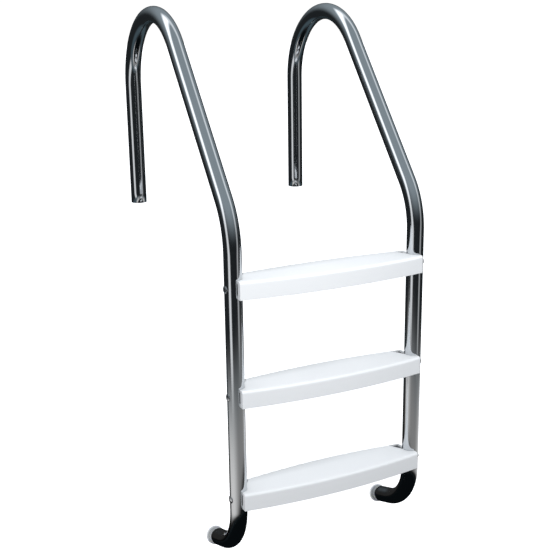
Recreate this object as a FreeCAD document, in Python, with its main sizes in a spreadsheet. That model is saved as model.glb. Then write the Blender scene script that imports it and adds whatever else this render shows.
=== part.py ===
# Three-tread pool ladder: two bent stainless rails, three moulded treads and the parts that clamp them.
# Units are millimetres. +X runs along the treads, +Y towards the deck, +Z up.
# Origin: midway between the two deck legs, at their cut ends.
import FreeCAD, Part
import math
import os
import Sketcher
from FreeCAD import Placement, Rotation, Vector

# alias, value, what it is
DIMENSIONS = [
    ("tube_od", 48.26, "rail tube, 1.90 in outside diameter"),
    ("tube_wall", 1.65, "rail tube wall, 0.065 in"),
    ("rail_spacing", 561.34, "rail centre to rail centre: 24 in overall less one tube"),
    ("reach", 726.0, "deck leg centre to lower leg centre"),
    ("deck_leg", 368.0, "straight part of the deck leg"),
    ("top_bend", 211.0, "centreline radius of the top bend"),
    ("incline_deg", 38.8, "handrail run, measured from vertical"),
    ("knee_bend", 216.0, "centreline radius where the handrail turns down"),
    ("hook_bend", 150.0, "centreline radius of the lower hook"),
    ("hook_deg", 71.5, "turn of the lower hook"),
    ("hook_end", 75.0, "straight tube after the hook"),
    ("hook_centre_z", -738.5, "height of the hook's bend centre"),
    ("tread_pitch", 299.0, "height between treads"),
    ("top_bolt_z", -104.0, "height of the upper tread's bolts"),
    ("tread_rise", 45.0, "height of the tread's edge"),
    ("tread_half", 280.0, "half the length of the tread's front lip"),
    ("front_end", 41.0, "lip ahead of the rail axis, at the ends"),
    ("front_bow", 22.0, "extra bow of the front edge at mid-length"),
    ("back_end", 44.0, "tread behind the rail axis, at the ends"),
    ("back_bow", 18.0, "extra bow of the back edge at mid-length"),
    ("back_half", 266.0, "half the length of the tread behind the rails"),
    ("crown", 4.0, "rise of the top surface over its edges"),
    ("nose", 7.0, "radius of the upper long edges"),
    ("shell", 3.5, "wall of the moulding"),
    ("rib", 3.0, "thickness of the stiffening ribs"),
    ("rib_step", 78.0, "distance between the cross ribs"),
    ("boss_inner", 236.0, "inner face of the end boss, from mid-length"),
    ("seat_gap", 0.25, "clearance between tube and tread saddle"),
    ("notch_half", 231.0, "mid-length to the point of the corner notch"),
    ("notch_depth", 4.0, "depth of the corner notch below the edge line"),
    ("saddle_plate", 2.5, "thickness of the steel saddle"),
    ("saddle_drop", 30.0, "height of the saddle's curved wall"),
    ("bolt_shank", 9.5, "tread bolt, 3/8 in"),
    ("bolt_hole", 10.3, "clearance hole for the tread bolt"),
    ("bolt_head", 21.4, "diameter of the domed bolt head"),
    ("head_rise", 3.4, "height of the domed bolt head"),
    ("bolt_run", 82.0, "bolt length under the head"),
    ("washer_od", 20.6, "washer outside diameter"),
    ("washer_thick", 1.6, "washer thickness"),
    ("nut_flats", 14.3, "nut across flats"),
    ("nut_thick", 8.4, "nut thickness"),
    ("bumper_od", 54.0, "wall bumper diameter"),
    ("bumper_rim", 14.0, "wall bumper thickness outside the tube"),
    ("bumper_stem", 22.0, "bumper plug inside the tube"),
]
D = {alias: value for alias, value, _ in DIMENSIONS}
TREADS = ["upper_tread", "middle_tread", "lower_tread"]
SIDES = [("left", -1), ("right", 1)]

os.makedirs("parts", exist_ok=True)
doc = FreeCAD.newDocument("pool_ladder")


def make_sheet():
    sheet = doc.addObject("Spreadsheet::Sheet", "Dims")
    for row, (alias, value, note) in enumerate(DIMENSIONS, start=1):
        sheet.set(f"A{row}", alias)
        sheet.set(f"B{row}", str(value))
        sheet.setAlias(f"B{row}", alias)
        sheet.set(f"C{row}", note)
    doc.recompute()
    return sheet


SHEET = make_sheet()


def body_named(label):
    body = doc.addObject("PartDesign::Body", label)
    body.Label = label
    return body


def sketch_on(body, role, name):
    """A sketch attached to one of the body's own origin planes."""
    sketch = body.newObject("Sketcher::SketchObject", name)
    plane = next(f for f in body.Origin.OriginFeatures if f.Role == role)
    sketch.AttachmentSupport = [(plane, "")]
    sketch.MapMode = "FlatFace"
    return sketch


def lift(sketch, distance, formula):
    """Move a sketch along its plane's normal by a value tied to a formula."""
    sketch.AttachmentOffset = Placement(Vector(0, 0, distance), Rotation())
    sketch.setExpression("AttachmentOffset.Base.z", formula)


def bind(sketch, kind, geometry, value, formula):
    """Add a driving constraint and tie it to a formula over the sheet's cells."""
    index = sketch.addConstraint(Sketcher.Constraint(kind, *geometry, value))
    sketch.setExpression(f"Constraints[{index}]", formula)


def fix_point(sketch, geo, end, point, formulas):
    for kind, value, formula in zip(("DistanceX", "DistanceY"), point, formulas):
        bind(sketch, kind, (-1, 1, geo, end), value, formula)


def closed_outline(sketch, corners, arcs=()):
    """A closed outline. corners holds ((x, y), (x formula, y formula)); arcs maps a side to
    (radius, formula, sign), where sign is the side of the chord the arc's centre lies on."""
    arcs = dict(arcs)
    count = len(corners)
    for side in range(count):
        start = Vector(*corners[side][0], 0)
        stop = Vector(*corners[(side + 1) % count][0], 0)
        if side in arcs:
            radius, _, sign = arcs[side]
            chord = stop - start
            normal = Vector(-chord.y, chord.x, 0).normalize()
            sagitta = radius - math.sqrt(radius ** 2 - (chord.Length / 2) ** 2)
            middle = (start + stop) * 0.5 - normal * sagitta * sign
            sketch.addGeometry(Part.Arc(start, middle, stop), False)
        else:
            sketch.addGeometry(Part.LineSegment(start, stop), False)
    ends = [arc_ends(sketch, side, corners[side][0]) for side in range(count)]
    for side in range(count):
        after = (side + 1) % count
        joint = Sketcher.Constraint("Coincident", side, ends[side][1], after, ends[after][0])
        sketch.addConstraint(joint)
    for side, (radius, formula, _) in arcs.items():
        bind(sketch, "Radius", (side,), radius, formula)
    for side, (point, formulas) in enumerate(corners):
        fix_point(sketch, side, ends[side][0], point, formulas)


def arc_ends(sketch, geo, start):
    """Start and end positions of a side: an arc that runs clockwise is stored the other way round."""
    first = sketch.getPoint(geo, 1)
    return (1, 2) if first.distanceToPoint(Vector(*start, 0)) < 1e-6 else (2, 1)


def circle_at(sketch, point, formulas, diameter, formula):
    geo = sketch.addGeometry(Part.Circle(Vector(*point, 0), Vector(0, 0, 1), diameter / 2), False)
    bind(sketch, "Diameter", (geo,), diameter, formula)
    if point == (0, 0):
        sketch.addConstraint(Sketcher.Constraint("Coincident", geo, 3, -1, 1))
    else:
        fix_point(sketch, geo, 3, point, formulas)


def feature(body, kind, name, profile, **properties):
    made = body.newObject(f"PartDesign::{kind}", name)
    if profile is not None:
        made.Profile = profile
    for key, value in properties.items():
        if isinstance(value, str) and key in ("Length", "Length2", "Radius", "Size"):
            made.setExpression(key, value)
        else:
            setattr(made, key, value)
    return made


def tube_ring(body):
    """Tube section at the cut end of the deck leg."""
    ring = sketch_on(body, "XY_Plane", "section")
    circle_at(ring, (0, 0), None, D["tube_od"], "Dims.tube_od")
    bore = D["tube_od"] - 2 * D["tube_wall"]
    circle_at(ring, (0, 0), None, bore, "Dims.tube_od - 2 * Dims.tube_wall")
    return ring


def rail_path(body):
    """Centreline: deck leg, top bend, handrail, knee, lower leg, hook and the hook's end."""
    lean, turn = math.radians(D["incline_deg"]), math.radians(D["hook_deg"])
    top, knee, hook, reach = D["top_bend"], D["knee_bend"], D["hook_bend"], D["reach"]
    top_c = Vector(-top, D["deck_leg"], 0)
    run = Vector(-math.sin(lean), -math.cos(lean), 0)
    out = Vector(-math.cos(lean), math.sin(lean), 0)
    top_end = top_c + out * top
    knee_x = -reach + knee * (1 - math.cos(lean))
    run_length = (top_end.x - knee_x) / math.sin(lean)
    knee_start = top_end + run * run_length
    knee_c = Vector(-reach + knee, knee_start.y - knee * math.sin(lean), 0)
    hook_c = Vector(-reach + hook, D["hook_centre_z"], 0)
    hook_end = hook_c + Vector(-math.cos(turn), -math.sin(turn), 0) * hook
    tip = hook_end + Vector(math.sin(turn), -math.cos(turn), 0) * D["hook_end"]
    half = (math.pi - lean) / 2

    path = sketch_on(body, "YZ_Plane", "centreline")
    path.addGeometry(Part.LineSegment(Vector(0, 0, 0), Vector(0, D["deck_leg"], 0)), False)
    leg_top, leg_end = Vector(-reach, knee_c.y, 0), Vector(-reach, hook_c.y, 0)
    top_mid = top_c + Vector(math.cos(half), math.sin(half), 0) * top
    knee_mid = knee_c + Vector(-math.cos(lean / 2), math.sin(lean / 2), 0) * knee
    hook_mid = hook_c + Vector(-math.cos(turn / 2), -math.sin(turn / 2), 0) * hook
    path.addGeometry(Part.Arc(Vector(0, D["deck_leg"], 0), top_mid, top_end), False)
    path.addGeometry(Part.LineSegment(top_end, knee_start), False)
    path.addGeometry(Part.Arc(knee_start, knee_mid, leg_top), False)
    path.addGeometry(Part.LineSegment(leg_top, leg_end), False)
    path.addGeometry(Part.Arc(leg_end, hook_mid, hook_end), False)
    path.addGeometry(Part.LineSegment(hook_end, tip), False)

    starts = [Vector(0, 0, 0), Vector(0, D["deck_leg"], 0), top_end, knee_start, leg_top, leg_end, hook_end]
    ends = [arc_ends(path, geo, (starts[geo].x, starts[geo].y)) for geo in range(7)]
    path.addConstraint(Sketcher.Constraint("Coincident", 0, 1, -1, 1))
    path.addConstraint(Sketcher.Constraint("Vertical", 0))
    path.addConstraint(Sketcher.Constraint("Vertical", 4))
    for geo in range(6):
        path.addConstraint(Sketcher.Constraint("Tangent", geo, ends[geo][1], geo + 1, ends[geo + 1][0]))
    bind(path, "DistanceY", (-1, 1, 0, 2), D["deck_leg"], "Dims.deck_leg")
    bind(path, "Radius", (1,), top, "Dims.top_bend")
    bind(path, "Radius", (3,), knee, "Dims.knee_bend")
    bind(path, "Radius", (5,), hook, "Dims.hook_bend")
    bind(path, "DistanceX", (-1, 1, 4, 1), -reach, "-Dims.reach")
    bind(path, "DistanceY", (-1, 1, 4, 2), D["hook_centre_z"], "Dims.hook_centre_z")
    bind(path, "DistanceX", (-1, 1, 1, ends[1][1]), top_end.x,
         "-Dims.top_bend * (1 + cos(Dims.incline_deg * 1 deg))")
    bind(path, "DistanceX", (-1, 1, 5, ends[5][1]), hook_end.x,
         "-Dims.reach + Dims.hook_bend * (1 - cos(Dims.hook_deg * 1 deg))")
    bind(path, "Distance", (6,), D["hook_end"], "Dims.hook_end")
    return path, tip, turn


def bolt_heights():
    return [(D["top_bolt_z"] - k * D["tread_pitch"], f"Dims.top_bolt_z - {k} * Dims.tread_pitch")
            for k in range(len(TREADS))]


def make_rail(side, sign):
    body = body_named(f"{side}_rail")
    ring = tube_ring(body)
    path, tip, turn = rail_path(body)
    feature(body, "AdditivePipe", "tube", ring, Spine=path)
    drill = sketch_on(body, "YZ_Plane", "bolt_centres")
    for height, formula in bolt_heights():
        circle_at(drill, (-D["reach"], height), ("-Dims.reach", formula), D["bolt_hole"], "Dims.bolt_hole")
    feature(body, "Pocket", "bolt_holes", drill, Type="ThroughAll", SideType="Symmetric")
    body.setExpression("Placement.Base.x", f"{sign} * Dims.rail_spacing / 2")
    return tip, turn


def arc_radius(half, bow):
    """Radius of an arc of half chord `half` that rises by `bow`, as a value and a formula."""
    value = D[half] ** 2 / (2 * D[bow]) + D[bow] / 2
    return value, f"(Dims.{half}^2 / (2 * Dims.{bow}) + Dims.{bow} / 2)"


def edge_y(x, half, end, bow, inset, outward):
    """Where a tread's long edge, moved in by `inset`, lies at x, as a value and a formula."""
    radius, formula = arc_radius(half, bow)
    value = math.sqrt((radius - D[inset]) ** 2 - x ** 2) - radius + D[end] + D[bow]
    text = f"(sqrt(({formula} - Dims.{inset})^2 - {x}^2) - {formula} + Dims.{end} + Dims.{bow})"
    return (value, text) if outward else (-value, "-" + text)


def front_edge(x, inset="shell"):
    return edge_y(x, "tread_half", "front_end", "front_bow", inset, False)


def back_edge(x, inset="shell"):
    return edge_y(x, "back_half", "back_end", "back_bow", inset, True)


def lip_outline(body):
    """Plan of the tread: bowed long edges, full length ahead of the rails and shorter behind them."""
    plan = sketch_on(body, "XY_Plane", "plan")
    far, near = D["tread_half"], D["back_half"]
    front, back = D["front_end"], D["back_end"]
    corners = [((-far, -front), ("-Dims.tread_half", "-Dims.front_end")),
               ((far, -front), ("Dims.tread_half", "-Dims.front_end")),
               ((far, 0), ("Dims.tread_half", "0")),
               ((near, 0), ("Dims.back_half", "0")),
               ((near, back), ("Dims.back_half", "Dims.back_end")),
               ((-near, back), ("-Dims.back_half", "Dims.back_end")),
               ((-near, 0), ("-Dims.back_half", "0")),
               ((-far, 0), ("-Dims.tread_half", "0"))]
    front_arc, back_arc = arc_radius("tread_half", "front_bow"), arc_radius("back_half", "back_bow")
    closed_outline(plan, corners, {0: (*front_arc, 1), 4: (*back_arc, 1)})
    return plan


def crown_section(body):
    """Everything above the crowned top surface, as seen along the tread."""
    section = sketch_on(body, "YZ_Plane", "crown_section")
    front, back = D["front_end"] + D["front_bow"] + 2, D["back_end"] + D["back_bow"] + 2
    edge, rise = D["tread_rise"] / 2, D["crown"]
    half = (front + back) / 2
    radius = half ** 2 / (2 * rise) + rise / 2
    span = "((Dims.front_end + Dims.front_bow + Dims.back_end + Dims.back_bow) / 2 + 2)"
    front_text, back_text = "-(Dims.front_end + Dims.front_bow + 2)", "Dims.back_end + Dims.back_bow + 2"
    corners = [((back, edge), (back_text, "Dims.tread_rise / 2")),
               ((back, edge + 3 * rise), (back_text, "Dims.tread_rise / 2 + 3 * Dims.crown")),
               ((-front, edge + 3 * rise), (front_text, "Dims.tread_rise / 2 + 3 * Dims.crown")),
               ((-front, edge), (front_text, "Dims.tread_rise / 2"))]
    closed_outline(section, corners,
                   {3: (radius, f"{span}^2 / (2 * Dims.crown) + Dims.crown / 2", -1)})
    return section


def long_top_edges(shape):
    """The two long edges that run the length of the tread at its top."""
    names = []
    for number, edge in enumerate(shape.Edges, start=1):
        box = edge.BoundBox
        if box.XLength > D["tread_half"] and box.ZMin > D["tread_rise"] / 2 - 1:
            names.append(f"Edge{number}")
    return names


def notch_outlines(body, level, level_text):
    """Open corner notch behind each rail: from the back edge's corner to the inner side of the tube."""
    notch = sketch_on(body, "XY_Plane", "notches_plan")
    lift(notch, level, level_text)
    inner = (D["rail_spacing"] - D["tube_od"]) / 2 + 1
    inner_text = "((Dims.rail_spacing - Dims.tube_od) / 2 + 1)"
    wall, wall_text = D["back_half"] - D["shell"], "(Dims.back_half - Dims.shell)"
    back, far = D["back_end"] - 1, D["back_end"] - D["shell"]
    for mark, sign in (("-", -1), ("", 1)):
        add_outline(notch, [
            ((sign * D["notch_half"], back), (f"{mark}Dims.notch_half", "Dims.back_end - 1")),
            ((sign * inner, 0), (f"{mark}{inner_text}", "0")),
            ((sign * wall, 0), (f"{mark}{wall_text}", "0")),
            ((sign * wall, far), (f"{mark}{wall_text}", "Dims.back_end - Dims.shell"))])
    return notch


def add_outline(sketch, corners):
    """A closed outline of straight sides after whatever the sketch already holds."""
    first = sketch.GeometryCount
    count = len(corners)
    for side in range(count):
        start, stop = corners[side][0], corners[(side + 1) % count][0]
        sketch.addGeometry(Part.LineSegment(Vector(*start, 0), Vector(*stop, 0)), False)
    for side in range(count):
        after = first + (side + 1) % count
        sketch.addConstraint(Sketcher.Constraint("Coincident", first + side, 2, after, 1))
        fix_point(sketch, first + side, 1, *corners[side])


def rail_circles(body, name, diameter, formula, level=0.0, level_text="0 mm"):
    """A circle about each rail's axis."""
    circles = sketch_on(body, "XY_Plane", name)
    lift(circles, level, level_text)
    for mark, sign in (("-", -1), ("", 1)):
        circle_at(circles, (sign * D["rail_spacing"] / 2, 0), (f"{mark}Dims.rail_spacing / 2", "0"),
                  diameter, formula)
    return circles


def cavity_outline(body):
    """Underside hollow, one wall in from the long edges and between the end blocks."""
    cavity = sketch_on(body, "XY_Plane", "cavity")
    lift(cavity, -D["tread_rise"] / 2, "-Dims.tread_rise / 2")
    x = D["boss_inner"]
    front, back = front_edge(x), back_edge(x)
    corners = [((-x, front[0]), ("-Dims.boss_inner", front[1])),
               ((x, front[0]), ("Dims.boss_inner", front[1])),
               ((x, back[0]), ("Dims.boss_inner", back[1])),
               ((-x, back[0]), ("-Dims.boss_inner", back[1]))]
    front_arc, back_arc = arc_radius("tread_half", "front_bow"), arc_radius("back_half", "back_bow")
    closed_outline(cavity, corners,
                   {0: (front_arc[0] - D["shell"], front_arc[1] + " - Dims.shell", 1),
                    2: (back_arc[0] - D["shell"], back_arc[1] + " - Dims.shell", 1)})
    return cavity


def rib_outlines(body):
    """Cross ribs at equal steps, each reaching halfway into both long walls."""
    ribs = sketch_on(body, "XY_Plane", "cross_ribs")
    lift(ribs, 2 - D["tread_rise"] / 2, "2 - Dims.tread_rise / 2")
    for step in range(-2, 3):
        x = step * D["rib_step"]
        front, back = front_edge(x), back_edge(x)
        left, right = (f"{step} * Dims.rib_step {side} Dims.rib / 2" for side in "-+")
        low, high = (front[0] - 1.5, front[1] + " - 1.5"), (back[0] + 1.5, back[1] + " + 1.5")
        west, east = (x - D["rib"] / 2, left), (x + D["rib"] / 2, right)
        add_outline(ribs, [((x[0], y[0]), (x[1], y[1]))
                           for x, y in ((west, low), (east, low), (east, high), (west, high))])
    return ribs


def spine_outline(body):
    """Lengthwise rib between the outermost cross ribs."""
    spine = sketch_on(body, "XY_Plane", "spine")
    lift(spine, 2 - D["tread_rise"] / 2, "2 - Dims.tread_rise / 2")
    x, y = 2 * D["rib_step"], D["rib"] / 2
    add_outline(spine, [((-x, -y), ("-2 * Dims.rib_step", "-Dims.rib / 2")),
                        ((x, -y), ("2 * Dims.rib_step", "-Dims.rib / 2")),
                        ((x, y), ("2 * Dims.rib_step", "Dims.rib / 2")),
                        ((-x, y), ("-2 * Dims.rib_step", "Dims.rib / 2"))])
    return spine


def place_on_ladder(body, tread, x="0", turn=0.0):
    """Put a body at a tread's bolt height, in the plane of the lower legs."""
    body.Placement = Placement(Vector(), Rotation(Vector(0, 0, 1), turn))
    body.setExpression("Placement.Base.x", x)
    body.setExpression("Placement.Base.y", "-Dims.reach")
    body.setExpression("Placement.Base.z", f"Dims.top_bolt_z - {tread} * Dims.tread_pitch")


def make_tread(label, tread):
    body = body_named(label)
    feature(body, "Pad", "slab", lip_outline(body), SideType="Two sides",
            Length="Dims.tread_rise / 2 + Dims.crown", Length2="Dims.tread_rise / 2")
    crown = feature(body, "Pocket", "crown", crown_section(body), Type="ThroughAll",
                    SideType="Symmetric")
    doc.recompute()
    feature(body, "Fillet", "noses", None, Base=(crown, long_top_edges(crown.Shape)), Radius="Dims.nose")
    seat = rail_circles(body, "seat_circles", D["tube_od"] + 2 * D["seat_gap"],
                        "Dims.tube_od + 2 * Dims.seat_gap")
    feature(body, "Pocket", "seats", seat, Type="ThroughAll", SideType="Symmetric")
    floor = D["tread_rise"] / 2 - D["notch_depth"]
    floor_text = "Dims.tread_rise / 2 - Dims.notch_depth"
    notches = notch_outlines(body, floor, floor_text)
    feature(body, "Pocket", "notches", notches, Type="ThroughAll", Reversed=True)
    relief_size = D["tube_od"] + 2 * D["saddle_plate"] + 4 * D["seat_gap"]
    relief = rail_circles(body, "relief_circles", relief_size,
                          "Dims.tube_od + 2 * Dims.saddle_plate + 4 * Dims.seat_gap", floor, floor_text)
    feature(body, "Pocket", "saddle_relief", relief, Length="Dims.saddle_drop + 1")
    feature(body, "Pocket", "underside", cavity_outline(body), Reversed=True,
            Length="Dims.tread_rise - Dims.shell")
    feature(body, "Pad", "ribs", rib_outlines(body), Length="Dims.tread_rise - Dims.shell - 1")
    feature(body, "Pad", "long_rib", spine_outline(body), Length="Dims.tread_rise - Dims.shell - 1")
    drill = sketch_on(body, "YZ_Plane", "bolt_centre")
    lift(drill, D["boss_inner"] - 5, "Dims.boss_inner - 5")
    circle_at(drill, (0, 0), None, D["bolt_hole"], "Dims.bolt_hole")
    right_hole = feature(body, "Pocket", "right_bolt_hole", drill, Type="ThroughAll", Reversed=True)
    mirror = body.newObject("PartDesign::Mirrored", "left_bolt_hole")
    mirror.Originals = [right_hole]
    plane = next(f for f in body.Origin.OriginFeatures if f.Role == "YZ_Plane")
    mirror.MirrorPlane = (plane, [""])
    body.Tip = mirror
    place_on_ladder(body, tread)
    return body


def make_saddle(label, tread, mark, turn, hand):
    """Steel saddle between tube and tread: a curved wall round the tube's inner side under a flat flange.
    Local origin on the tube's axis at bolt height, +X towards mid-tread; hand is +1 left, -1 right."""
    body = body_named(label)
    tube, plate = D["tube_od"] / 2 + D["seat_gap"], D["saddle_plate"]
    floor, floor_text = D["tread_rise"] / 2 - D["notch_depth"], "Dims.tread_rise / 2 - Dims.notch_depth"
    tube_text = "(Dims.tube_od / 2 + Dims.seat_gap)"
    wall = sketch_on(body, "XY_Plane", "wall_plan")
    lift(wall, floor, floor_text)
    outer, outer_text = tube + plate, f"{tube_text} + Dims.saddle_plate"
    half_ring(wall, (outer, outer_text), (tube, tube_text))
    feature(body, "Pad", "wall", wall, Length="Dims.saddle_drop", Reversed=True)

    flange = sketch_on(body, "XY_Plane", "flange_plan")
    lift(flange, floor, floor_text)
    rail, back, back_text = D["rail_spacing"] / 2, D["back_end"] - 2, "(Dims.back_end - 2)"
    tip, tip_text = rail - D["notch_half"] - 1, "(Dims.rail_spacing / 2 - Dims.notch_half - 1)"
    far = rail - D["back_half"] + D["shell"] + D["seat_gap"]
    far_text = "(Dims.rail_spacing / 2 - Dims.back_half + Dims.shell + Dims.seat_gap)"
    add_outline(flange, [((tip, hand * back), (tip_text, f"{hand} * {back_text}")),
                         ((far, hand * (back - 2)), (far_text, f"{hand} * ({back_text} - 2)")),
                         ((far, hand), (far_text, f"{hand}")),
                         ((tube - 1.5, hand), (f"{tube_text} - 1.5", f"{hand}"))])
    feature(body, "Pad", "flange", flange, Length="Dims.saddle_plate")
    clear = sketch_on(body, "XY_Plane", "tube_clearance")
    circle_at(clear, (0, 0), None, 2 * tube, f"2 * {tube_text}")
    feature(body, "Pocket", "tube_side", clear, Type="ThroughAll", SideType="Symmetric")
    hole = sketch_on(body, "YZ_Plane", "bolt_centre")
    circle_at(hole, (0, 0), None, D["bolt_hole"], "Dims.bolt_hole")
    feature(body, "Pocket", "bolt_hole", hole, Type="ThroughAll", SideType="Symmetric")
    place_on_ladder(body, tread, f"{mark}Dims.rail_spacing / 2", turn)


def half_ring(sketch, outer, inner):
    """A half ring on the +X side of the origin, each radius given as a value and a formula."""
    for radius, _ in (outer, inner):
        arc = Part.Arc(Vector(0, -radius, 0), Vector(radius, 0, 0), Vector(0, radius, 0))
        sketch.addGeometry(arc, False)
    for sign in (-1, 1):
        start, stop = Vector(0, sign * outer[0], 0), Vector(0, sign * inner[0], 0)
        sketch.addGeometry(Part.LineSegment(start, stop), False)
    for geo, (radius, formula) in enumerate((outer, inner)):
        sketch.addConstraint(Sketcher.Constraint("Coincident", geo, 3, -1, 1))
        bind(sketch, "Radius", (geo,), radius, formula)
        for end, line in ((1, 2), (2, 3)):
            sketch.addConstraint(Sketcher.Constraint("PointOnObject", geo, end, -2))
            sketch.addConstraint(Sketcher.Constraint("Coincident", geo, end, line, 1 + geo))


def make_bolt(label, tread, mark, turn):
    """Domed bolt. Local origin where its axis meets the outer side of the tube, +X along the shank."""
    body = body_named(label)
    head, rise, skirt = D["bolt_head"] / 2, D["head_rise"], 3.0
    radius = (head ** 2 + rise ** 2) / (2 * rise)
    turned = sketch_on(body, "XY_Plane", "head_section")
    corners = [((-rise, 0), ("-Dims.head_rise", "0")), ((skirt, 0), (f"{skirt}", "0")),
               ((skirt, head), (f"{skirt}", "Dims.bolt_head / 2")), ((0, head), ("0", "Dims.bolt_head / 2"))]
    dome = "((Dims.bolt_head / 2)^2 + Dims.head_rise^2) / (2 * Dims.head_rise)"
    closed_outline(turned, corners, {3: (radius, dome, 1)})
    feature(body, "Revolution", "head", turned, ReferenceAxis=(turned, ["H_Axis"]), Angle=360.0)
    tube = sketch_on(body, "XY_Plane", "tube_circle")
    circle_at(tube, (D["tube_od"] / 2, 0), ("Dims.tube_od / 2", "0"), D["tube_od"], "Dims.tube_od")
    feature(body, "Pocket", "tube_seat", tube, Type="ThroughAll", SideType="Symmetric")
    shank = sketch_on(body, "YZ_Plane", "shank_section")
    lift(shank, -1, "-1")
    circle_at(shank, (0, 0), None, D["bolt_shank"], "Dims.bolt_shank")
    feature(body, "Pad", "shank", shank, Length="Dims.bolt_run + 1")
    place_on_ladder(body, tread, f"{mark}(Dims.rail_spacing + Dims.tube_od) / 2", turn)


def make_washer(label, tread, mark, turn):
    body = body_named(label)
    ring = sketch_on(body, "YZ_Plane", "ring")
    circle_at(ring, (0, 0), None, D["washer_od"], "Dims.washer_od")
    circle_at(ring, (0, 0), None, D["bolt_hole"], "Dims.bolt_hole")
    feature(body, "Pad", "plate", ring, Length="Dims.washer_thick")
    place_on_ladder(body, tread, f"{mark}Dims.boss_inner", turn)


def make_nut(label, tread, mark, turn):
    body = body_named(label)
    hexagon = sketch_on(body, "YZ_Plane", "hexagon")
    across = D["nut_flats"] / math.sqrt(3)
    corners = []
    for k in range(6):
        angle = 60 * k
        corners.append(((across * math.cos(math.radians(angle)), across * math.sin(math.radians(angle))),
                        (f"Dims.nut_flats / sqrt(3) * cos({angle} deg)",
                         f"Dims.nut_flats / sqrt(3) * sin({angle} deg)")))
    add_outline(hexagon, corners)
    circle_at(hexagon, (0, 0), None, D["bolt_shank"], "Dims.bolt_shank")
    feature(body, "Pad", "block", hexagon, Length="Dims.nut_thick")
    place_on_ladder(body, tread, f"{mark}(Dims.boss_inner - Dims.washer_thick)", turn)


def make_bumper(side, sign, tip, turn):
    """Moulded plug and pad in the open end of the lower hook. Local origin on the tube's end, +Z outwards."""
    body = body_named(f"{side}_wall_bumper")
    pad, rim = D["bumper_od"] / 2, D["bumper_rim"]
    stem, length = D["tube_od"] / 2 - D["tube_wall"] - 0.1, D["bumper_stem"]
    section = sketch_on(body, "XZ_Plane", "section")
    add_outline(section, [((0, -length), ("0", "-Dims.bumper_stem")),
                          ((stem, -length), ("Dims.tube_od / 2 - Dims.tube_wall - 0.1", "-Dims.bumper_stem")),
                          ((stem, 0), ("Dims.tube_od / 2 - Dims.tube_wall - 0.1", "0")),
                          ((pad, 0), ("Dims.bumper_od / 2", "0")),
                          ((pad, rim), ("Dims.bumper_od / 2", "Dims.bumper_rim")),
                          ((0, rim), ("0", "Dims.bumper_rim"))])
    plug = feature(body, "Revolution", "plug", section, ReferenceAxis=(section, ["V_Axis"]), Angle=360.0)
    doc.recompute()
    rims = [f"Edge{n}" for n, edge in enumerate(plug.Shape.Edges, start=1)
            if edge.BoundBox.ZMin > rim - 0.01 and edge.BoundBox.XLength > pad]
    feature(body, "Fillet", "rim_round", None, Base=(plug, rims), Radius="Dims.bumper_rim * 0.6")
    body.Placement = Placement(Vector(0, tip.x, tip.y), Rotation(Vector(1, 0, 0), math.degrees(turn) - 180))
    body.setExpression("Placement.Base.x", f"{sign} * Dims.rail_spacing / 2")


def check(made):
    for item in doc.Objects:
        if "Invalid" in item.State or "Error" in item.State:
            raise RuntimeError(f"{item.Label} did not build")
    for item in made:
        if item.Shape.isNull() or not item.Shape.isValid() or len(item.Shape.Solids) != 1:
            raise RuntimeError(f"{item.Label} is not one valid solid")


for side, sign in SIDES:
    tip, turn = make_rail(side, sign)
    make_bumper(side, sign, tip, turn)
for k, label in enumerate(TREADS):
    make_tread(label, k)
    place = label.split("_")[0]
    for side, sign in SIDES:
        mark, turned = ("-", 0.0) if sign < 0 else ("", 180.0)
        make_saddle(f"{place}_{side}_saddle", k, mark, turned, -sign)
        make_bolt(f"{place}_{side}_bolt", k, mark, turned)
        make_washer(f"{place}_{side}_washer", k, mark, turned)
        make_nut(f"{place}_{side}_nut", k, mark, turned)
doc.recompute()
pieces = [item for item in doc.Objects if item.isDerivedFrom("PartDesign::Body")]
check(pieces)
for piece in pieces:
    piece.Shape.exportStep(f"parts/{piece.Label}.step")
print(len(pieces), "pieces written")
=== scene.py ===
import math

import bmesh
import bpy
from mathutils import Euler, Matrix, Vector


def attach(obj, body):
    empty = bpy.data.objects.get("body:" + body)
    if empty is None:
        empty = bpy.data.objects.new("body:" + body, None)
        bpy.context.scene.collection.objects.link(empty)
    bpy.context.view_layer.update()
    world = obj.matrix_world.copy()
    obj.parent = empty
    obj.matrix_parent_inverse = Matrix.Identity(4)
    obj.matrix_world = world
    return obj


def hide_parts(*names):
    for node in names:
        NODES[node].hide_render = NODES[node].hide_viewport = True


# Pool ladder: polished stainless rails, white moulded treads, bolts, saddles and wall bumpers.
# Metres, in the CAD part's frame: +X along the treads, +Y towards the deck, +Z up.
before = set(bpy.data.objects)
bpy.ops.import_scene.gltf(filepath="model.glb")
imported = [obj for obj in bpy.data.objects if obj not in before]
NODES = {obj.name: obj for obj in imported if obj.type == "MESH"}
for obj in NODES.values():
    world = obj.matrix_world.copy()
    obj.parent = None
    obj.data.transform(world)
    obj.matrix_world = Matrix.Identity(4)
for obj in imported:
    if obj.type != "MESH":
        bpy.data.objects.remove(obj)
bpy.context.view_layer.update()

# The rail's bend, as the CAD part has it
TUBE_R = 0.02413
TUBE_WALL = 0.00165
RAIL_X = 0.28067
REACH = 0.726
DECK_LEG = 0.368
TOP_BEND = 0.211
INCLINE = math.radians(38.8)
KNEE_BEND = 0.216
HOOK_BEND = 0.150
HOOK_TURN = math.radians(71.5)
HOOK_END = 0.075
HOOK_CENTRE_Z = -0.7385

# How finely the tube is built
EDGE_ROUND = 0.0003
ARC_STEP = math.radians(2.0)
LINE_STEP = 0.03
TUBE_SIDES = 72
SHARP_ANGLE = math.radians(50)
CLOSING_LENGTH = 0.001

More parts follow.
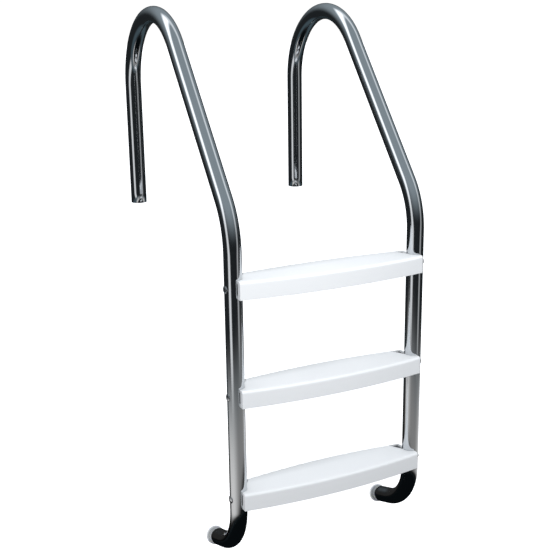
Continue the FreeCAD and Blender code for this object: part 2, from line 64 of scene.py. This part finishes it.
# Stage heights and radii, about the lower legs
STAGE_SIDES = 96
FLOOR_Z, FLOOR_RADIUS = -1.15, 40.0
CARD_Z, CARD_RADIUS = -1.32, 3.3
BAND_FOOT, BAND_TOP, BAND_RADIUS = -1.5, -0.4, 1.0

# Camera
CAMERA_PLACE = (-1.28789, -3.01580, 0.62103)
CAMERA_YAW = math.radians(26.23)
CAMERA_PITCH = math.radians(15.43)
CAMERA_ROLL = math.radians(-0.79)
CAMERA_LENS = 65.80
SENSOR_WIDTH = 36.0
VIEW_DEPTH = 100.0

UP = (0.0, 0.0, 1.0)


# ---------------------------------------------------------------- node helpers
def new_material(name):
    material = bpy.data.materials.new(name)
    material.use_nodes = True
    nodes, links = material.node_tree.nodes, material.node_tree.links
    return material, nodes, links, nodes["Principled BSDF"]


def coordinates(nodes, kind):
    return nodes.new("ShaderNodeTexCoord").outputs[kind]


def noise(nodes, links, vector, scale, detail=4.0, rough=0.55):
    node = nodes.new("ShaderNodeTexNoise")
    node.inputs["Scale"].default_value = scale
    node.inputs["Detail"].default_value = detail
    node.inputs["Roughness"].default_value = rough
    links.new(vector, node.inputs["Vector"])
    return node.outputs["Fac"]


def stretched_noise(nodes, links, vector, stretch, detail, rough=0.55):
    """Noise with its own scale in each direction."""
    node = nodes.new("ShaderNodeMapping")
    node.inputs["Scale"].default_value = stretch
    links.new(vector, node.inputs["Vector"])
    return noise(nodes, links, node.outputs["Vector"], 1.0, detail, rough)


def map_range(nodes, links, value, start, stop, low, high):
    node = nodes.new("ShaderNodeMapRange")
    for name, number in (("From Min", start), ("From Max", stop),
                         ("To Min", low), ("To Max", high)):
        node.inputs[name].default_value = number
    links.new(value, node.inputs["Value"])
    return node


def ranged(nodes, links, value, low, high):
    """Spread a noise's usual values over low to high."""
    return map_range(nodes, links, value, 0.3, 0.7, low, high).outputs["Result"]


def smooth_step(nodes, links, value, start, stop, low, high):
    node = map_range(nodes, links, value, start, stop, low, high)
    node.interpolation_type = "SMOOTHSTEP"
    return node.outputs["Result"]


def shader_math(nodes, links, kind, a, b=None):
    node = nodes.new("ShaderNodeMath")
    node.operation = kind
    links.new(a, node.inputs[0])
    if b is not None:
        links.new(b, node.inputs[1])
    return node.outputs[0]


def product(nodes, links, first, *others):
    for other in others:
        first = shader_math(nodes, links, "MULTIPLY", first, other)
    return first


def tinted(nodes, links, value, dark, light):
    node = nodes.new("ShaderNodeMix")
    node.data_type = "RGBA"
    node.inputs["A"].default_value = (*dark, 1.0)
    node.inputs["B"].default_value = (*light, 1.0)
    links.new(value, node.inputs["Factor"])
    return node.outputs["Result"]


def bumped(nodes, links, height, strength, distance, under=None):
    node = nodes.new("ShaderNodeBump")
    node.inputs["Strength"].default_value = strength
    node.inputs["Distance"].default_value = distance
    links.new(height, node.inputs["Height"])
    if under is not None:
        links.new(under, node.inputs["Normal"])
    return node.outputs["Normal"]


def direction(heading, elevation):
    """Unit vector: heading 0 is +Y and 90 is +X, elevation is above level."""
    turn, rise = math.radians(heading), math.radians(elevation)
    level = math.cos(rise)
    return Vector((math.sin(turn) * level, math.cos(turn) * level, math.sin(rise)))


def along(nodes, links, vector, way):
    """Component of a vector along a fixed direction."""
    node = nodes.new("ShaderNodeVectorMath")
    node.operation = "DOT_PRODUCT"
    links.new(vector, node.inputs[0])
    node.inputs[1].default_value = way
    return node.outputs["Value"]


def level_radius(nodes, links, place):
    """Distance from the upright axis through a stage piece's origin."""
    flat = nodes.new("ShaderNodeVectorMath")
    flat.operation = "MULTIPLY"
    links.new(place, flat.inputs[0])
    flat.inputs[1].default_value = (1.0, 1.0, 0.0)
    length = nodes.new("ShaderNodeVectorMath")
    length.operation = "LENGTH"
    links.new(flat.outputs[0], length.inputs[0])
    return length.outputs["Value"]


def mixed_shaders(nodes, links, factor, first, second):
    node = nodes.new("ShaderNodeMixShader")
    for value, socket in zip((factor, first, second), node.inputs):
        links.new(value, socket)
    return node.outputs[0]


def background(nodes, colour):
    node = nodes.new("ShaderNodeBackground")
    node.inputs["Color"].default_value = (*colour, 1.0)
    return node


# ---------------------------------------------------------------- materials
def polished_tube():
    """Buffed stainless: fine lines along the tube, a few soft smears, a slight waviness."""
    material, nodes, links, shader = new_material("polished_stainless")
    uv = coordinates(nodes, "UV")
    lines = stretched_noise(nodes, links, uv, (1400.0, 4.0, 1.0), 1.0)
    smears = stretched_noise(nodes, links, uv, (22.0, 2.0, 1.0), 3.0, 0.6)
    waves = stretched_noise(nodes, links, uv, (14.0, 9.0, 1.0), 1.0)
    fine = ranged(nodes, links, lines, -0.02, 0.02)
    broad = ranged(nodes, links, smears, 0.06, 0.12)
    links.new(shader_math(nodes, links, "ADD", fine, broad), shader.inputs["Roughness"])
    colour = tinted(nodes, links, smears, (0.58, 0.60, 0.62), (0.66, 0.675, 0.69))
    links.new(colour, shader.inputs["Base Color"])
    normal = bumped(nodes, links, waves, 0.25, 0.0006)
    links.new(bumped(nodes, links, lines, 0.06, 0.00003, normal), shader.inputs["Normal"])
    shader.inputs["Metallic"].default_value = 1.0
    return material


def plain_steel(name, dark, light, low, high, grain):
    """Stainless hardware with a fine pressed or turned grain."""
    material, nodes, links, shader = new_material(name)
    place = coordinates(nodes, "Object")
    grains = noise(nodes, links, place, grain, 6.0, 0.7)
    stains = noise(nodes, links, place, 60.0, 4.0)
    links.new(ranged(nodes, links, grains, low, high), shader.inputs["Roughness"])
    links.new(tinted(nodes, links, stains, dark, light), shader.inputs["Base Color"])
    links.new(bumped(nodes, links, grains, 0.25, 0.00005), shader.inputs["Normal"])
    shader.inputs["Metallic"].default_value = 1.0
    return material


def moulded_white():
    """White moulding: faint orange peel, fine grain, a trace of wear, and painted shade making it
    greyer at the rear, most at the left end.
    """
    material, nodes, links, shader = new_material("white_moulding")
    place = coordinates(nodes, "Object")
    peel = noise(nodes, links, place, 90.0, 2.0)
    grain = noise(nodes, links, place, 2600.0, 3.0)
    wear = noise(nodes, links, place, 7.0, 4.0, 0.5)
    links.new(ranged(nodes, links, wear, 0.42, 0.52), shader.inputs["Roughness"])
    moulding_tone = tinted(nodes, links, wear, (0.868, 0.880, 0.890), (0.892, 0.900, 0.907))
    # Painted shade: a grey band along the rear of the top, stronger towards the left end,
    # standing in for the rear slope turned away from the light.
    box = nodes.new("ShaderNodeSeparateXYZ")
    links.new(coordinates(nodes, "Generated"), box.inputs[0])
    rear = smooth_step(nodes, links, box.outputs["Y"], 0.60, 0.95, 0.0, 1.0)
    near_end = smooth_step(nodes, links, box.outputs["X"], 0.0, 0.9, 0.75, 0.20)
    painted_rear_shade = nodes.new("ShaderNodeMix")
    painted_rear_shade.data_type = "RGBA"
    painted_rear_shade.inputs["B"].default_value = (0.60, 0.61, 0.61, 1.0)
    links.new(product(nodes, links, rear, near_end), painted_rear_shade.inputs["Factor"])
    links.new(moulding_tone, painted_rear_shade.inputs["A"])
    links.new(painted_rear_shade.outputs["Result"], shader.inputs["Base Color"])
    rounded = nodes.new("ShaderNodeBevel")
    rounded.samples = 4
    rounded.inputs["Radius"].default_value = 0.0016
    normal = bumped(nodes, links, peel, 0.06, 0.0003, rounded.outputs["Normal"])
    links.new(bumped(nodes, links, grain, 0.06, 0.00002, normal), shader.inputs["Normal"])
    shader.inputs["Specular IOR Level"].default_value = 0.35
    return material


def soft_bumper():
    """Milky soft plastic of the wall bumpers."""
    material, nodes, links, shader = new_material("milky_bumper")
    place = coordinates(nodes, "Object")
    cloud = noise(nodes, links, place, 40.0, 4.0)
    grain = noise(nodes, links, place, 1500.0, 3.0)
    links.new(ranged(nodes, links, grain, 0.36, 0.52), shader.inputs["Roughness"])
    colour = tinted(nodes, links, cloud, (0.90, 0.91, 0.92), (0.95, 0.955, 0.96))
    links.new(colour, shader.inputs["Base Color"])
    links.new(bumped(nodes, links, grain, 0.12, 0.0001), shader.inputs["Normal"])
    shader.inputs["Subsurface Weight"].default_value = 0.45
    shader.inputs["Subsurface Radius"].default_value = (0.006, 0.006, 0.007)
    return material


# ---------------------------------------------------------------- rails
def arc_points(centre, radius, start, stop):
    count = max(2, round(abs(stop - start) / ARC_STEP))
    turns = [start + (stop - start) * i / count for i in range(1, count + 1)]
    return [Vector((centre[0] + radius * math.cos(a), centre[1] + radius * math.sin(a)))
            for a in turns]


def line_points(start, stop):
    count = max(1, round((stop - start).length / LINE_STEP))
    return [start.lerp(stop, i / count) for i in range(1, count + 1)]


def rail_centreline():
    """Points (y, z) from the deck leg's cut end to the end of the lower hook."""
    top = Vector((-TOP_BEND, DECK_LEG))
    end_of_top = top + Vector((-math.cos(INCLINE), math.sin(INCLINE))) * TOP_BEND
    knee_y = -REACH + KNEE_BEND * (1 - math.cos(INCLINE))
    run = (end_of_top.x - knee_y) / math.sin(INCLINE)
    knee_start = end_of_top + Vector((-math.sin(INCLINE), -math.cos(INCLINE))) * run
    knee = Vector((-REACH + KNEE_BEND, knee_start.y - KNEE_BEND * math.sin(INCLINE)))
    hook = Vector((-REACH + HOOK_BEND, HOOK_CENTRE_Z))
    points = [Vector((0.0, 0.0))]
    points += line_points(points[-1], Vector((0.0, DECK_LEG)))
    points += arc_points(top, TOP_BEND, 0.0, math.pi - INCLINE)
    points += line_points(points[-1], knee_start)
    points += arc_points(knee, KNEE_BEND, math.pi - INCLINE, math.pi)
    points += line_points(points[-1], Vector((-REACH, HOOK_CENTRE_Z)))
    points += arc_points(hook, HOOK_BEND, math.pi, math.pi + HOOK_TURN)
    tip = Vector((math.sin(HOOK_TURN), -math.cos(HOOK_TURN)))
    points += line_points(points[-1], points[-1] + tip * HOOK_END)
    return points


def rim(ring, sign):
    """The four rings of a rounded cut end, from the outer wall to the inner one."""
    centre, way, _ = ring
    back = centre - way * sign * EDGE_ROUND
    return [(back, way, TUBE_R), (centre, way, TUBE_R - EDGE_ROUND),
            (centre, way, TUBE_R - TUBE_WALL + EDGE_ROUND), (back, way, TUBE_R - TUBE_WALL)]


def tube_rings():
    """Rings (centre, direction, radius) along the outer wall and back along the inner one."""
    path = rail_centreline()
    outer = []
    for i, point in enumerate(path):
        before, after = path[max(i - 1, 0)], path[min(i + 1, len(path) - 1)]
        outer.append((point, (after - before).normalized(), TUBE_R))
    inner = [(centre, way, TUBE_R - TUBE_WALL) for centre, way, _ in reversed(outer)]
    return outer[1:-1] + rim(outer[-1], 1) + inner[1:-1] + rim(outer[0], -1)[::-1]


def rail_mesh(name, x):
    """Hollow tube as one closed skin, with (around, along) in metres as its texture layout."""
    mesh = bpy.data.meshes.new(name)
    work = bmesh.new()
    uv = work.loops.layers.uv.new("tube")
    rings = tube_rings()
    turns = [2 * math.pi * s / TUBE_SIDES for s in range(TUBE_SIDES)]
    rows, lengths, travelled = [], [], 0.0
    for k, (centre, way, radius) in enumerate(rings):
        across, out = Vector((1.0, 0.0, 0.0)), Vector((0.0, way.y, -way.x))
        spot = Vector((x, centre.x, centre.y))
        rows.append([work.verts.new(spot + (across * math.cos(a) + out * math.sin(a)) * radius)
                     for a in turns])
        travelled += (centre - rings[k - 1][0]).length if k else 0.0
        lengths.append(travelled)
    for k, start in enumerate(lengths):
        after = (k + 1) % len(rows)
        stop = lengths[after] if after else start + CLOSING_LENGTH
        for s in range(TUBE_SIDES):
            t = (s + 1) % TUBE_SIDES
            face = work.faces.new((rows[k][s], rows[k][t], rows[after][t], rows[after][s]))
            face.smooth = True
            corners = ((s, start), (s + 1, start), (s + 1, stop), (s, stop))
            for loop, (turn, length) in zip(face.loops, corners):
                loop[uv].uv = (turn / TUBE_SIDES * 2 * math.pi * TUBE_R, length)
    bmesh.ops.recalc_face_normals(work, faces=work.faces)
    work.to_mesh(mesh)
    work.free()
    mesh.set_sharp_from_angle(angle=SHARP_ANGLE)
    rail = bpy.data.objects.new(name, mesh)
    bpy.context.scene.collection.objects.link(rail)
    return rail


# ---------------------------------------------------------------- stage
def stage_mesh(name, rings):
    """Surface turned about the lower legs from (radius, z) rings; one ring makes a disc."""
    mesh = bpy.data.meshes.new(name)
    work = bmesh.new()
    turns = [2 * math.pi * i / STAGE_SIDES for i in range(STAGE_SIDES)]
    rows = [[work.verts.new((r * math.cos(a), r * math.sin(a), z)) for a in turns]
            for r, z in rings]
    if len(rows) == 1:
        work.faces.new(rows[0])
    for low, high in zip(rows, rows[1:]):
        for i in range(STAGE_SIDES):
            j = (i + 1) % STAGE_SIDES
            work.faces.new((low[i], low[j], high[j], high[i]))
    work.to_mesh(mesh)
    work.free()
    item = bpy.data.objects.new(name, mesh)
    item.location = (0.0, -REACH, 0.0)
    bpy.context.scene.collection.objects.link(item)
    return item


def gloss_card(item, colour, cover, strength):
    """Make a stage piece a glow seen only in reflections.

    cover and strength build sockets from the piece's own coordinates.
    """
    material = bpy.data.materials.new(item.name)
    material.use_nodes = True
    nodes, links = material.node_tree.nodes, material.node_tree.links
    nodes.clear()
    place = coordinates(nodes, "Object")
    light = nodes.new("ShaderNodeEmission")
    light.inputs["Color"].default_value = (*colour, 1.0)
    links.new(strength(nodes, links, place), light.inputs["Strength"])
    clear = nodes.new("ShaderNodeBsdfTransparent").outputs[0]
    mix = mixed_shaders(nodes, links, cover(nodes, links, place), clear, light.outputs[0])
    out = nodes.new("ShaderNodeOutputMaterial")
    links.new(mix, out.inputs["Surface"])
    item.data.materials.append(material)
    item.visible_camera = False
    item.visible_diffuse = False
    item.visible_shadow = False
    item.visible_transmission = False


def make_ground_card():
    """Dark below the ladder and dim grey farther out, fading away before the strips."""
    def cover(nodes, links, place):
        return smooth_step(nodes, links, level_radius(nodes, links, place), 2.0, 3.2, 1.0, 0.0)

    def strength(nodes, links, place):
        radius = level_radius(nodes, links, place)
        return smooth_step(nodes, links, radius, 0.8, 1.7, 0.005, 0.11)

    card = stage_mesh("ground_card", [(CARD_RADIUS, CARD_Z)])
    gloss_card(card, (0.65, 0.95, 1.12), cover, strength)


def make_low_band():
    """Pale low wall round the lower legs: dim to the pool side, dark to the deck side."""
    def cover(nodes, links, place):
        height = along(nodes, links, place, UP)
        return smooth_step(nodes, links, height, -1.05, -0.45, 1.0, 0.0)

    def strength(nodes, links, place):
        to_pool = along(nodes, links, place, direction(168.0, 0.0))
        pool_side = smooth_step(nodes, links, to_pool, -0.2, 0.95, 0.85, 0.30)
        to_deck = along(nodes, links, place, direction(0.0, 0.0))
        deck_side = smooth_step(nodes, links, to_deck, 0.35, 0.80, 1.0, 0.03)
        height = along(nodes, links, place, UP)
        foot = smooth_step(nodes, links, height, -1.28, -1.12, 0.015, 1.0)
        return product(nodes, links, pool_side, deck_side, foot)

    band = stage_mesh("low_band", [(BAND_RADIUS, BAND_FOOT), (BAND_RADIUS, BAND_TOP)])
    gloss_card(band, (1.0, 0.985, 0.97), cover, strength)
    band.visible_diffuse = True


def make_floor():
    """Pale floor, glowing enough to stay nearly white, left out of reflections."""
    floor = stage_mesh("floor", [(FLOOR_RADIUS, FLOOR_Z)])
    material, _, _, shader = new_material("pale_floor")
    shader.inputs["Base Color"].default_value = (0.9, 0.9, 0.9, 1.0)
    shader.inputs["Roughness"].default_value = 0.9
    shader.inputs["Emission Color"].default_value = (1.0, 1.0, 1.0, 1.0)
    shader.inputs["Emission Strength"].default_value = 0.75
    floor.data.materials.append(material)
    floor.visible_glossy = False
    floor.visible_diffuse = False


def strip(nodes, links, ray, ends, edge, glow):
    """Tall soft strip in the world, along the great circle through its two ends.

    edge is where it starts and ends fading, glow its brightness at eye level and above.
    """
    first, second = (direction(*end) for end in ends)
    across = first.cross(second).normalized()
    off = shader_math(nodes, links, "ABSOLUTE", along(nodes, links, ray, across))
    width = smooth_step(nodes, links, off, *edge, 1.0, 0.0)
    facing = along(nodes, links, ray, (first + second).normalized())
    side = smooth_step(nodes, links, facing, 0.0, 0.25, 0.0, 1.0)
    tall = smooth_step(nodes, links, along(nodes, links, ray, UP), 0.0, 0.6, *glow)
    return product(nodes, links, width, side, tall)


def make_world():
    """White to the camera, a dark studio with two strips in reflections, soft light elsewhere."""
    world = bpy.data.worlds.new("studio")
    bpy.context.scene.world = world
    world.use_nodes = True
    nodes, links = world.node_tree.nodes, world.node_tree.links
    nodes.clear()
    ray = coordinates(nodes, "Generated")
    height = along(nodes, links, ray, UP)

    sky = smooth_step(nodes, links, height, -0.06, 0.75, 0.022, 0.38)
    left = strip(nodes, links, ray, ((-110, -12), (-84, 40)), (0.10, 0.30), (0.95, 1.45))
    right = strip(nodes, links, ray, ((138, -10), (105, 50)), (0.07, 0.24), (0.45, 0.62))
    strips = shader_math(nodes, links, "ADD", left, right)
    shiny = nodes.new("ShaderNodeAddShader")
    layers = ((sky, (0.82, 0.96, 1.05)), (strips, (0.98, 0.985, 1.0)))
    for socket, (strength, colour) in zip(shiny.inputs, layers):
        glow = background(nodes, colour)
        links.new(strength, glow.inputs["Strength"])
        links.new(glow.outputs[0], socket)

    soft = smooth_step(nodes, links, height, -0.35, 0.35, 0.32, 0.87)
    matt = background(nodes, (0.93, 0.975, 1.03))
    links.new(soft, matt.inputs["Strength"])
    white = background(nodes, (1.0, 1.0, 1.0))
    white.inputs["Strength"].default_value = 1.05

    path = nodes.new("ShaderNodeLightPath")
    lit = mixed_shaders(nodes, links, path.outputs["Is Glossy Ray"],
                        matt.outputs[0], shiny.outputs[0])
    seen = mixed_shaders(nodes, links, path.outputs["Is Camera Ray"], lit, white.outputs[0])
    out = nodes.new("ShaderNodeOutputWorld")
    links.new(seen, out.inputs["Surface"])


def soft_light(name, place, target, size, power):
    data = bpy.data.lights.new(name, "AREA")
    data.shape = "DISK"
    data.size = size
    data.energy = power
    light = bpy.data.objects.new(name, data)
    light.location = place
    light.rotation_euler = (Vector(target) - light.location).to_track_quat("-Z", "Y").to_euler()
    light.visible_glossy = False
    bpy.context.scene.collection.objects.link(light)


def make_lights():
    """A large key above and in front of the upper tread, a low fill from the deck side."""
    soft_light("key", (-0.35, -1.75, 0.85), (0.0, -0.7, -0.2), 1.0, 14.0)
    soft_light("fill", (-0.9, 0.5, -0.9), (-0.1, -0.5, -0.9), 0.7, 9.0)


def make_camera():
    """From the pool side and the left, level with the ladder's top and looking a little down."""
    data = bpy.data.cameras.new("camera")
    data.sensor_width = SENSOR_WIDTH
    data.lens = CAMERA_LENS
    data.clip_end = VIEW_DEPTH
    camera = bpy.data.objects.new("camera", data)
    aim = Euler((math.pi / 2 - CAMERA_PITCH, 0.0, -CAMERA_YAW)).to_matrix()
    turn = aim @ Matrix.Rotation(CAMERA_ROLL, 3, "Z")
    camera.matrix_world = Matrix.Translation(CAMERA_PLACE) @ turn.to_4x4()
    bpy.context.scene.collection.objects.link(camera)
    bpy.context.scene.camera = camera


# ---------------------------------------------------------------- assembly
def dress(node, material):
    piece = NODES[node]
    piece.data.materials.clear()
    piece.data.materials.append(material)


def dress_ladder():
    tube = polished_tube()
    for side, x in (("left", -RAIL_X), ("right", RAIL_X)):
        rail = rail_mesh(f"{side}_rail_tube", x)
        rail.data.materials.append(tube)
        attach(rail, "root")
        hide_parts(f"{side}_rail")
    saddle = plain_steel("pressed_steel", (0.12, 0.123, 0.13), (0.20, 0.205, 0.215),
                         0.34, 0.48, 900.0)
    fastener = plain_steel("turned_steel", (0.50, 0.51, 0.53), (0.62, 0.63, 0.65),
                           0.16, 0.28, 1600.0)
    moulding, bumper = moulded_white(), soft_bumper()
    for name in NODES:
        if name.endswith("_tread"):
            dress(name, moulding)
        elif name.endswith("_bumper"):
            dress(name, bumper)
        elif name.endswith("_saddle"):
            dress(name, saddle)
        elif name.endswith(("_bolt", "_washer", "_nut")):
            dress(name, fastener)


dress_ladder()
make_floor()
make_ground_card()
make_low_band()
make_world()
make_lights()
make_camera()
bpy.context.scene.view_settings.view_transform = "Standard"
